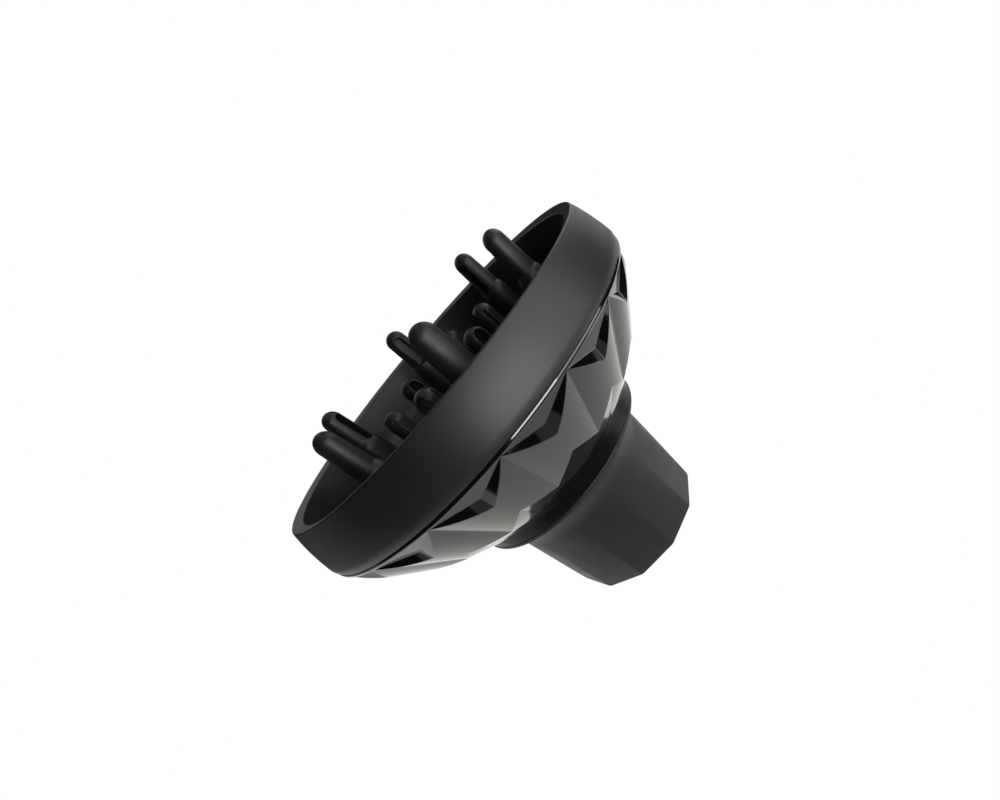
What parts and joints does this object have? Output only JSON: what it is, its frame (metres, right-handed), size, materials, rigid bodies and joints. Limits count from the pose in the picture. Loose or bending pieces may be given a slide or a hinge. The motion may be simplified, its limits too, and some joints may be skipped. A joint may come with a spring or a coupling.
{
  "type": "hair dryer diffuser",
  "caption": "Bowl-shaped hair dryer diffuser with rounded fingers on a perforated plate, a faceted glossy shell, a matte rim band and a soft pull-off neck for the nozzle.",
  "frame": {"origin": "centre of the soft neck's mouth, on the end face that the diffuser stands on", "axes": "+Z along the diffuser's axis from the neck's mouth to the fingers; +Y and -Y each point at a tall finger"},
  "size_m": [0.1372, 0.1372, 0.114],
  "materials": {
    "matte_band": "fine soft-touch grain",
    "gloss_shell": "polished piano black",
    "bowl_plastic": "fine moulded grain",
    "finger_plastic": "satin",
    "soft_neck": "soft matte",
    "screw_steel": "black-zinc plated"
  },
  "bodies": {
    "bowl": {"rim_ring": "matte_band", "seam_trim": "gloss_shell", "facet_shell": "gloss_shell", "finger_plate": "bowl_plastic", "plate_screws": "screw_steel", "air_spreader": "bowl_plastic", "spreader_screw": "screw_steel", "inlet_duct": "bowl_plastic", "collar_ring": "gloss_shell", "tall_finger_1": "finger_plastic", "tall_finger_2": "finger_plastic", "tall_finger_3": "finger_plastic", "tall_finger_4": "finger_plastic", "tall_finger_5": "finger_plastic", "tall_finger_6": "finger_plastic", "short_finger_1": "finger_plastic", "short_finger_2": "finger_plastic", "short_finger_3": "finger_plastic", "short_finger_4": "finger_plastic", "short_finger_5": "finger_plastic", "short_finger_6": "finger_plastic"},
    "neck": {"neck_sleeve": "soft_neck"}
  },
  "joints": [
    {"name": "neck_pull_off", "type": "slide", "parent": "bowl", "child": "neck", "axis": [0, 0, -1], "range_m": [0, 0.026]}
  ]
}
